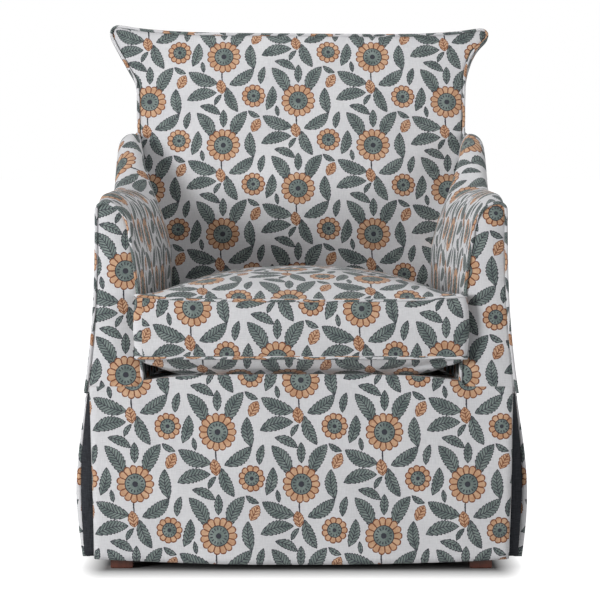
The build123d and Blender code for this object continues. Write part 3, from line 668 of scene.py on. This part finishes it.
def rimSide(side, count=52):  # one side of the rim, evenly spaced
    pts = np.array(backShape["rim"][side])
    dense = []
    for n in range(len(pts) - 1):
        p0, p1, p2, p3 = pts[max(n - 1, 0)], pts[n], pts[n + 1], pts[min(n + 2, len(pts) - 1)]
        for t in np.linspace(0, 1, 12, endpoint=False):
            dense.append(0.5 * (2 * p1 + (p2 - p0) * t + (2 * p0 - 5 * p1 + 4 * p2 - p3) * t ** 2
                                + (3 * p1 - p0 - 3 * p2 + p3) * t ** 3))
    dense.append(pts[-1])
    run = lengths([tuple(p) for p in dense])
    want = np.linspace(0, run[-1], count)
    halves, heights = [np.interp(want, run, [p[n] for p in dense]) for n in (0, 1)]
    return [(float(h), float(z)) for h, z in zip(halves, heights)]


def rimDepth(z):
    b = backShape
    return lerp(b["edgeLow"], b["edgeHigh"], clip01((z - b["seatTop"]) / (b["edgeTop"] - b["seatTop"])))


def rearDepth(z):
    b = backShape
    return b["rearTop"] + b["rake"] * (min(z, b["rearHeight"]) - b["rearHeight"])


def headShare(z):  # 0 below the head of the back, 1 at its top
    return ease((z - backShape["headStart"]) / backShape["headRun"])


def buildBack():
    b = backShape
    cols, steps = 45, 9

    def face(key, n):
        (halfA, zA), (halfB, zB) = key
        s = 2 * n / (cols - 1) - 1
        half, z = lerp(halfA, halfB, n / (cols - 1)), lerp(zA, zB, n / (cols - 1))
        high = headShare((zA + zB) / 2)
        zz = z - b["dip"] * high * (1 - abs(s) ** 5)
        crown = b["crown"] * (1 - b["crownLoss"] * high) * (1 - abs(s) ** 2.6)
        cut = (s * half + b["print"][0], zz * b["print"][1] + b["print"][2])
        return (s * half, rimDepth(zz) - crown, zz), cut

    rows, cuts = grid(list(zip(rimSide(-1), rimSide(1))), cols, face)
    rim = rimOf(rows)
    run = lengths(rim)

    def boxing(k, n):  # the strip from the rim back to the outside panel
        x, y, z = rim[k]
        before, after = rim[max(k - 1, 0)], rim[min(k + 1, len(rim) - 1)]
        dx, dz = after[0] - before[0], after[2] - before[2]
        size = math.hypot(dx, dz) or 1.0
        flare = 0.0
        if abs(x) > b["earFrom"][0] and z > b["earFrom"][1]:
            flare = max(0.0, outsideEdge(1 if x > 0 else -1, z) - abs(x))
        t = n / (steps - 1)
        bulge = b["boxingBulge"] * math.sin(math.pi * t) - b["boxingTuck"] * t
        across = x - dz / size * bulge + math.copysign(flare * t, x)
        cut = (run[k] - run[len(rim) // 2], b["boxingPrint"] * t)
        return (across, lerp(y, rearDepth(z), t), z + dx / size * bulge), cut

    strip, stripCuts = grid(range(len(rim)), steps, boxing)
    pad = sewPanels("backPad", [(rows, cuts), (strip, stripCuts)])
    puff(pad, rim + [r[-1] for r in strip], b["pressure"], b["frames"], b["cap"])
    upholster(pad, ["back_pad"])
    upholster(tube("backPiping", rim, b["piping"]))


def buildOutsideBack():
    o = outsideShape
    low, high = o["wings"][0][0], [o["ears"][side][-1][0] for side in (-1, 1)]

    def spot(k, n):
        heights = [lerp(low, h, k / 59) for h in high]
        halves = [outsideEdge(side, h) for side, h in zip((-1, 1), heights)]
        s = 2 * n / 32 - 1
        half, z = lerp(*halves, n / 32), lerp(*heights, n / 32)
        up = clip01((z - o["swellFrom"]) / o["swellRun"])
        swell = o["swell"] * (1 - s ** 4) * math.sin(math.pi * up)
        zz = z - backShape["dip"] * headShare(z) * (1 - abs(s) ** 5)
        return (s * half, rearDepth(zz) + o["proud"] + swell, zz), (-s * half, zz)

    rows, cuts = grid(range(60), 33, spot)
    panel = sewPanels("outsideBack", [(rows, cuts)])
    upholster(panel, ["outside_back"])
    upholster(tube("outsideBackPiping", rimOf(rows), backShape["piping"]))


buildBack()
buildOutsideBack()
print("back built")

# seat cushion: crowned panels, boxing between two rows of piping
weltLow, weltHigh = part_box("seat_cushion_top_welt")
bottomLow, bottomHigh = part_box("seat_cushion_bottom_welt")
cushionShape = {
    "front": weltLow[1] - 0.013,
    "rear": weltHigh[1] - 0.003,
    "frontHalf": 0.2675,
    "rearHalf": 0.2353,
    "taperEnd": 0.090,
    "corner": 0.014,
    "spread": 0.019,  # of the front corners, in front of the arms
    "spreadFrom": 0.008,  # from the front edge, where the spread starts to go, and over what run
    "spreadRun": 0.012,
    "closeRows": (0.0, 0.002, 0.004, 0.007, 0.011),  # rows of points behind the front corners
    "openRows": 0.016,
    "waist": 0.004,
    "top": (weltLow[2] + weltHigh[2]) / 2,
    "bottom": (bottomLow[2] + bottomHigh[2]) / 2,
    "crown": {"top": 0.041, "bottom": 0.028},
    "along": {"top": (3.0, 0.6), "bottom": (12.0, 0.5)},  # powers that round the crown, front to rear
    "across": {"top": 3.0, "bottom": 18.0},  # and side to side
    "roundness": 0.7,
    "cornerLift": 0.008,
    "boxingBulge": 0.006,
    "boxingPrint": (0.04, 0.1, 0.028),  # shift along, height and shift up
    "topPrint": (0.02, 1.02, 0.47),  # shift along, stretch and shift back
    "piping": 0.0034,
    "pressure": 3.0,
    "frames": 18,
    "cap": 0.012,
}


def cushionHalf(y):
    c = cushionShape
    t = clip01((y - c["front"]) / (c["taperEnd"] - c["front"]))
    mid = clip01((y - c["front"]) / (c["rear"] - c["front"]))
    half = lerp(c["frontHalf"], c["rearHalf"], t) - c["waist"] * 4 * mid * (1 - mid)
    half += c["spread"] * (1 - ease((y - c["front"] - c["spreadFrom"]) / c["spreadRun"]))
    for edge in (y - c["front"], c["rear"] - y):
        if edge < c["corner"]:
            half -= c["corner"] - math.sqrt(max(0.0, c["corner"] ** 2 - (c["corner"] - edge) ** 2))
    return half


def cushionRows():
    c = cushionShape
    bend = [c["corner"] * (1 - math.cos(math.pi / 2 * n / 5)) for n in range(5)]
    middle = [c["front"] + c["corner"] + e for e in c["closeRows"]]
    start, end = c["front"] + c["corner"] + c["openRows"], c["rear"] - c["corner"]
    middle += [lerp(start, end, n / 36) for n in range(37)]
    return [c["front"] + e for e in bend] + middle + [c["rear"] - e for e in reversed(bend)]


def buildCushion():
    c = cushionShape
    cols, steps = 45, 9
    panels = []
    loops = {}
    for level, sign in (("top", 1), ("bottom", -1)):
        power, root = c["along"][level]

        def spot(y, n):
            t = (y - c["front"]) / (c["rear"] - c["front"])
            s = 2 * n / (cols - 1) - 1
            half = cushionHalf(y)
            lift = (1 - abs(2 * t - 1) ** power) ** root
            rise = c["crown"][level] * lift * (1 - abs(s) ** c["across"][level]) ** c["roundness"]
            lifted = c["cornerLift"] * abs(s) ** 4 * (1 - t) if sign > 0 else 0.0
            back = y * c["topPrint"][1] + c["topPrint"][2] if sign > 0 else -y
            return (s * half, y, c[level] + sign * rise + lifted), (s * half + c["topPrint"][0], back)

        rows, cuts = grid(cushionRows(), cols, spot)
        panels.append((rows, cuts))
        loops[level] = rows[0] + [r[-1] for r in rows[1:]] + rows[-1][-2::-1] + [r[0] for r in rows[-2:0:-1]]
    rim = loops["top"] + loops["top"][:1]
    run = lengths([p[:2] for p in rim])
    shift, tall, up = c["boxingPrint"]

    def boxing(k, n):  # the strip between the two seams
        x, y, z = rim[k]
        before, after = rim[k - 1 if k else -2], rim[k + 1 if k + 1 < len(rim) else 1]
        dx, dy = after[0] - before[0], after[1] - before[1]
        size = math.hypot(dx, dy) or 1.0
        nx, ny = dy / size, -dx / size
        t = n / (steps - 1)
        bulge = c["boxingBulge"] * math.sin(math.pi * t) * (1 - clip01(ny))
        point = (x + nx * bulge, y + ny * bulge, lerp(c["bottom"], z, t))
        return point, (run[k] - run[cols // 2] + shift, tall * t + up)

    box, boxCuts = grid(range(len(rim)), steps, boxing)
    panels.append((box, boxCuts))
    cushion = sewPanels("seatCushion", panels)
    rearFace = [p for row in box for p in row if p[1] > c["rear"] - 0.001]
    puff(cushion, loops["top"] + loops["bottom"] + rearFace, c["pressure"], c["frames"], c["cap"])
    covered = ["seat_cushion_" + part for part in ("top_panel", "boxing", "bottom_panel", "core")]
    upholster(cushion, covered, "seat_cushion")
    for level in ("top", "bottom"):
        welt = tube("cushionPiping_" + level, loops[level], c["piping"], closed=True)
        upholster(welt, ["seat_cushion_%s_welt" % level], "seat_cushion")


buildCushion()

tapeLow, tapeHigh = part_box("zipper_tape")
teethShape = {
    "pitch": 0.004,
    "long": 0.0026,
    "tall": 0.0030,
    "proud": 0.0011,
    "end": 0.006,  # of the tape without teeth
    "stagger": 0.0007,
    "bevel": 0.0003,
}


def buildZipTeeth():
    shape = teethShape
    middle = (tapeLow[2] + tapeHigh[2]) / 2
    mesh = bpy.data.meshes.new("zipTeeth")
    bm = bmesh.new()
    for n in range(int((tapeHigh[0] - tapeLow[0] - 2 * shape["end"]) / shape["pitch"])):
        x = tapeLow[0] + shape["end"] + shape["pitch"] * (n + 0.5)
        rise = shape["stagger"] if n % 2 else -shape["stagger"]
        tooth = bmesh.ops.create_cube(bm, size=1.0)["verts"]
        bmesh.ops.scale(bm, vec=(shape["long"], 2 * shape["proud"], shape["tall"]), verts=tooth)
        bmesh.ops.translate(bm, vec=(x, tapeHigh[1], middle + rise), verts=tooth)
    bmesh.ops.bevel(bm, geom=bm.edges[:], offset=shape["bevel"], segments=1, affect="EDGES")
    bm.to_mesh(mesh)
    bm.free()
    finishPiece(linked("zipTeeth", mesh), finishes["zip_metal"], "seat_cushion")


buildZipTeeth()
print("cushion built")

# skirt: hanging panels with folded-back ends over pleat liners, whose dark cloth is painted shade
skirtLow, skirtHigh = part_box("skirt_front")
sideLow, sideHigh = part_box("skirt_side_left")
rearLow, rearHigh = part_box("skirt_rear")
skirtShape = {
    "top": sideHigh[2],
    "hem": sideLow[2],
    "sag": 0.010,
    "lipHalf": 0.2717,
    "lip": skirtHigh[2] - sideHigh[2] + 0.003,
    "lipDrop": 0.5,  # share of the lip that is lost beside the arms
    "lipEnd": 0.010,
    "fold": 0.030,  # cloth turned back at each end
    "foldTurn": 0.006,  # length over which the fold turns in
    "foldBack": 0.85,
    "foldSet": 0.002,  # how far the fold lies behind the panel at the top, and how much more at the hem
    "foldDrop": {"front": 0.010, "side": 0.012, "rear": 0.010},
    "belly": 0.019,
    "bellyShare": 0.80,  # of a half wave that the side panel's belly shows
    "bellyPower": 1.3,
    "open": 0.014,  # how far the side panels stand back from the corners
    "taper": 0.020,  # of the front panel, from its top to its hem
    "kick": 0.010,  # how far front and rear stand out below the top
    "kickFrom": 0.03,
    "kickRun": 0.15,
    "rearKick": 1.4,
    "frontSet": 0.0125,
    "set": 0.003,
    "wave": 0.0035,
    "sway": (0.002, 9.0),  # of the front panel's ends, as a reach and a pace
    "cloth": 0.0022,
    "slack": 1.004,  # flat length for each metre hung
    "printTop": 0.37,
}
sideHalf = (sideHigh[1] - sideLow[1]) / 2 - skirtShape["open"]


def hungPanel(name, half, outline, place, nodes):
    # outline(u) gives top and hem, place(u, down, z) gives the point; u runs along the panel in metres
    c = skirtShape
    cols, rows = 90, 30

    def spot(j, i):
        u = lerp(-half - c["fold"], half + c["fold"], i / cols)
        top, hem = outline(max(-half, min(half, u)))
        z = lerp(hem, top, j / rows)
        return place(u, 1 - j / rows, z), (u, z - c["top"] + c["printTop"])

    panel = sewPanels(name, [grid(range(rows + 1), cols + 1, spot)])
    thicken(panel, c["cloth"], 0)
    finishPiece(panel, printCloth, "chair", nodes)
    edges = [outline(x) for x in np.linspace(-half, half, 9)]


def foldedEnd(u, half):  # where a point lies along the panel, and how far its fold has turned in
    c = skirtShape
    past = max(0.0, abs(u) - half)
    return min(abs(u), half), c["foldBack"] * past, min(1.0, past / c["foldTurn"])


def ripple(u, slow, fast):  # a slow and a fast wave, each a pace and a shift
    return skirtShape["wave"] * (math.sin(u * slow[0] + slow[1]) + 0.6 * math.sin(u * fast[0] + fast[1]))


def frontPlace(u, down, z):
    c = skirtShape
    reach, back, turn = foldedEnd(u, skirtHigh[0])
    out = c["kick"] * ease((skirtHigh[2] - c["kickFrom"] - z) / c["kickRun"])
    wave = ripple(u, (17.0, 0.6), (31.0, 2.0)) * down
    x = math.copysign(reach * (1 - c["taper"] * down) - back, u)
    x += c["sway"][0] * down * math.sin(z * c["sway"][1])
    y = skirtLow[1] + c["frontSet"] - out + 0.5 * wave
    return (x, y + c["foldDrop"]["front"] * turn * down + c["foldSet"] * turn, z)


def lipRise(s):  # height of the lip under the cushion, s runs from -1 to 1 between the arms
    return skirtShape["lip"] * (1 - skirtShape["lipDrop"] * abs(s) ** 4)


def frontOutline(u):
    c = skirtShape
    beyond = ease((abs(u) - c["lipHalf"]) / c["lipEnd"])
    lip = lipRise(min(1.0, abs(u) / c["lipHalf"])) * (1 - beyond)
    return c["top"] + lip, c["hem"] - c["sag"] * (1 - (u / skirtHigh[0]) ** 2)


def sideLine(z):  # half width of the side panel at a height
    c = skirtShape
    t = clip01((c["top"] - z) / (c["top"] - c["hem"]))
    belly = math.sin(math.pi * min(1.0, t * c["bellyShare"])) ** c["bellyPower"]
    return sideLow[0] + c["set"] + c["belly"] * belly


def sidePlace(side):
    def place(u, down, z):
        c = skirtShape
        reach, back, turn = foldedEnd(u, sideHalf)
        wave = ripple(u, (19.0, side), (37.0, 1.0)) * down
        x = sideLine(z) + 0.7 * wave - c["foldDrop"]["side"] * turn * down - c["foldSet"] * turn
        y = (sideHigh[1] + sideLow[1]) / 2 + math.copysign(reach - back, u)
        return (side * x, y, z)
    return place


def rearPlace(u, down, z):
    c = skirtShape
    reach, back, turn = foldedEnd(u, rearHigh[0])
    wave = ripple(u, (15.0, 0.0), (33.0, 0.0)) * down
    y = rearLow[1] + c["set"] + c["kick"] * ease(down * c["rearKick"]) + 0.5 * wave
    x = math.copysign(reach - back, u)
    return (-x, y - c["foldDrop"]["rear"] * turn * down - c["foldSet"] * turn, z)


def plainOutline(u):
    return skirtShape["top"], skirtShape["hem"]


hungPanel("skirtFront", skirtHigh[0], frontOutline, frontPlace, ["skirt_front"])
for side, name in ((1, "left"), (-1, "right")):
    hungPanel("skirtSide_" + name, sideHalf, plainOutline, sidePlace(side), ["skirt_side_" + name])
hungPanel("skirtRear", rearHigh[0], plainOutline, rearPlace, ["skirt_rear"])

linerShape = {
    "inset": 0.004,
    "legEnd": 0.006,
    "over": 0.001,  # past the line of the side panel
    "swellPower": 0.7,
    "ripple": 0.0015,
    "cloth": 0.0015,
}


def buildLiner(name):
    c = linerShape
    low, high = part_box("pleat_liner_" + name)
    corner, hand = name.split("_")
    side = 1 if hand == "left" else -1
    front = corner == "front"
    outer = max(abs(low[0]), abs(high[0])) - c["inset"]
    yEdge = low[1] + c["inset"] if front else high[1] - c["inset"]
    inward = 1 if front else -1
    leg = high[1] - low[1] - c["legEnd"]
    flat = [(outer - leg + leg * n / 8, yEdge, 0.0) for n in range(9)]
    for n in range(1, 13):
        swell = math.sin(math.pi * n / 12) ** c["swellPower"]
        flat.append((outer, yEdge + inward * leg * n / 12, swell))
    run = lengths([p[:2] for p in flat])
    rows, cuts = [], []
    for j in range(17):
        z = lerp(low[2], high[2], j / 16)
        reach = sideLine(z) + c["over"] - outer
        loose = c["ripple"] * (1 - j / 16)
        row = []
        for x, y, swell in flat:
            out = x + reach * swell + loose * math.sin(90 * y + 20 * z)
            row.append((side * out, y + loose * math.sin(60 * x), z))
        rows.append(row)
        cuts.append([(s, z) for s in run])
    liner = sewPanels("pleatLiner_" + name, [(rows, cuts)])
    thicken(liner, c["cloth"])
    # dark cloth as painted shade for the shaded inside of the pleat; the liner swells out to just past the
    # side panel's line
    finishPiece(liner, finishes["pleat_cloth"], "chair", ["pleat_liner_" + name])


for name in ("front_left", "front_right", "rear_left", "rear_right"):
    buildLiner(name)

# deck under the cushion, and the dust cover below
deckLow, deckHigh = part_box("seat_deck")
deckShape = {
    "frontSet": 0.002,
    "tuck": 0.004,  # under the arms
    "under": 0.001,  # below the skirt's top edge
    "apron": 0.03,  # turned down behind the skirt
}


def buildDeck():
    d = deckShape

    def spot(y, n):
        t = clip01((y - armShape["front"]) / (armShape["wingStart"] - armShape["front"]))
        half = lerp(armShape["seatHalf"], padLow[0], t) + d["tuck"]
        s = 2 * n / 30 - 1
        return (s * half, y, skirtShape["top"] - d["under"] + lipRise(s)), (s * half, y)

    rows, cuts = grid(np.linspace(deckLow[1] - d["frontSet"], deckHigh[1], 25), 31, spot)
    apron = [[(x, y, z - d["apron"]) for x, y, z in rows[0]], rows[0]]
    apronCuts = [[(x, -d["apron"]) for x, _, _ in rows[0]], cuts[0]]
    deck = sewPanels("seatDeck", [(rows, cuts), (apron, apronCuts)])
    upholster(deck, ["seat_deck"])


buildDeck()

dustLow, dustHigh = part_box("dust_cover")
dustShape = {
    "inset": 0.001,
    "room": 0.001,  # between the cloth and each foot
    "edgeRoom": 0.006,  # no row of points nearer than this to the edge of a foot
    "lift": 0.0005,
    "sag": 0.006,
    "cloth": 0.0008,
}


def buildDustCover():
    d = dustShape
    holes = []
    for foot in ("foot_front_left", "foot_front_right", "foot_rear_left", "foot_rear_right"):
        low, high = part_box(foot)
        holes.append(([v - d["room"] for v in low[:2]], [v + d["room"] for v in high[:2]]))

    def stops(axis):  # even steps, with the edges of the feet among them
        even = list(np.linspace(dustLow[axis] + d["inset"], dustHigh[axis] - d["inset"], 25))
        edges = sorted({round(float(corner[axis]), 5) for hole in holes for corner in hole})
        edges = [e for e in edges if even[0] < e < even[-1]]
        return sorted([e for e in even if all(abs(e - edge) > d["edgeRoom"] for edge in edges)] + edges)

    middle = [(low + high) / 2 for low, high in zip(dustLow, dustHigh)]
    half = [(high - low) / 2 for low, high in zip(dustLow, dustHigh)]
    across = stops(0)

    def spot(y, n):
        x = across[n]
        sag = (1 - ((x - middle[0]) / half[0]) ** 2) * (1 - ((y - middle[1]) / half[1]) ** 2)
        return (x, y, dustLow[2] + d["lift"] - d["sag"] * sag), (x, y)

    cover = sewPanels("dustCover", [grid(stops(1), len(across), spot)], holes=holes)
    thicken(cover, d["cloth"])
    finishPiece(cover, finishes["lining"], "chair", ["dust_cover"])


buildDustCover()
print("skirt, deck and lining built")

# stage, light and camera
stageLook = {
    # the grey floor shows only around the chair, where the camera glow is held off: a painted contact shade
    # there, on top of the real shadow from the lamps
    "floor": "#b0b0b0",
    "glow": 1.0,  # lifts the floor to white for the camera, away from the chair
    "farGlow": 0.10,
    "shadeFootprint": (0.335, 0.405),
    "sideFade": 3.0,  # the shadow is this much narrower at the sides than in front
    "shadeFade": 0.16,
    "farFade": (0.5, 3.0),
    "world": 0.06,
    "aim": (0, 0, 0.5),
    # place, size and power of each lamp
    "lamps": {
        "leftLamp": ((-3.2, -3.2, 1.15), (1.6, 1.6), 172.0),
        "rightLamp": ((4.2, -2.6, 1.15), (1.6, 1.6), 74.0),
        "topLamp": ((0.0, 0.0, 3.3), (2.0, 2.0), 34.0),
        "backLamp": ((1.2, 4.6, 2.2), (2.4, 2.0), 45.0),
    },
}


def addLamp(name, place, size, power):
    data = bpy.data.lights.new(name, "AREA")
    data.shape = "RECTANGLE"
    data.size, data.size_y = size
    data.energy = power
    lamp = linked(name, data)
    lamp.location = place
    way = np.array(stageLook["aim"]) - np.array(place)
    tip = math.atan2(math.hypot(way[0], way[1]), -way[2])
    lamp.rotation_euler = (tip, 0, math.atan2(way[1], way[0]) - math.pi / 2)


def lookedAt(shader):  # 1 where the camera or a reflection looks, 0 for the light that falls on things
    rays = shader.node("ShaderNodeLightPath", {}).node.outputs
    return shader.calc("MAXIMUM", rays["Is Camera Ray"], rays["Is Glossy Ray"])


def buildStage():
    look = stageLook
    bpy.ops.mesh.primitive_plane_add(size=400, location=(0, 100, 0))
    floor = bpy.context.object
    floor.name = "floor"
    shader = Shader(bpy.data.materials.new("floorPaint"))
    calc = shader.calc
    spot = shader.split(shader.node("ShaderNodeNewGeometry", {}, "Position"))
    off = []
    # the camera-only glow rises with distance from the chair's footprint box, so near the chair the floor
    # reads darker: painted contact shade over the lamps' real shadow
    for n, half in enumerate(look["shadeFootprint"]):
        off.append(calc("MAXIMUM", calc("SUBTRACT", calc("ABSOLUTE", spot[n]), half), 0.0))
    off[0] = calc("MULTIPLY", off[0], look["sideFade"])
    away = calc("SQRT", calc("MULTIPLY_ADD", off[0], off[0], calc("MULTIPLY", off[1], off[1])))
    near = shader.range(away, 0.0, look["shadeFade"], 0.0, look["glow"])
    far = shader.range(away, *look["farFade"], 0.0, look["farGlow"])
    lift = calc("MULTIPLY", lookedAt(shader), calc("ADD", near, far))
    shader.feed(shader.base, {"Base Color": linear(look["floor"]), "Roughness": 0.9,
                              "Specular IOR Level": 0.0,
                              "Emission Color": (1, 1, 1, 1), "Emission Strength": lift})
    floor.data.materials.append(shader.holder)

    world = bpy.data.worlds.new("studio")
    bpy.context.scene.world = world
    sky = Shader(world, "Background")
    level = sky.range(lookedAt(sky), 0.0, 1.0, look["world"], 1.0)
    sky.feed(sky.base, {"Color": (1, 1, 1, 1), "Strength": level})
    for name, lamp in look["lamps"].items():
        addLamp(name, *lamp)


buildStage()

shot = {
    "height": 0.680,
    "distance": 4.95,  # from the front of the skirt
    "focal": 2900.0,  # in pixels of a 600 pixel frame
    "horizon": 174.0,  # pixel row of the eye level
    "middle": 301.2,  # pixel column of the chair's middle
    "frameSize": 600.0,
    "sensor": 36.0,
}
camData = bpy.data.cameras.new("camera")
camData.sensor_width = shot["sensor"]
camData.lens = shot["focal"] * shot["sensor"] / shot["frameSize"]
camera = linked("camera", camData)
tilt = math.atan((shot["frameSize"] / 2 - shot["horizon"]) / shot["focal"])
turn = math.atan((shot["middle"] - shot["frameSize"] / 2) / shot["focal"])
camera.location = (0.0, skirtLow[1] - shot["distance"], shot["height"])
camera.rotation_euler = (math.pi / 2 - tilt, 0, turn)
bpy.context.scene.camera = camera
bpy.context.scene.view_settings.view_transform = "Standard"
print("stage and camera set")
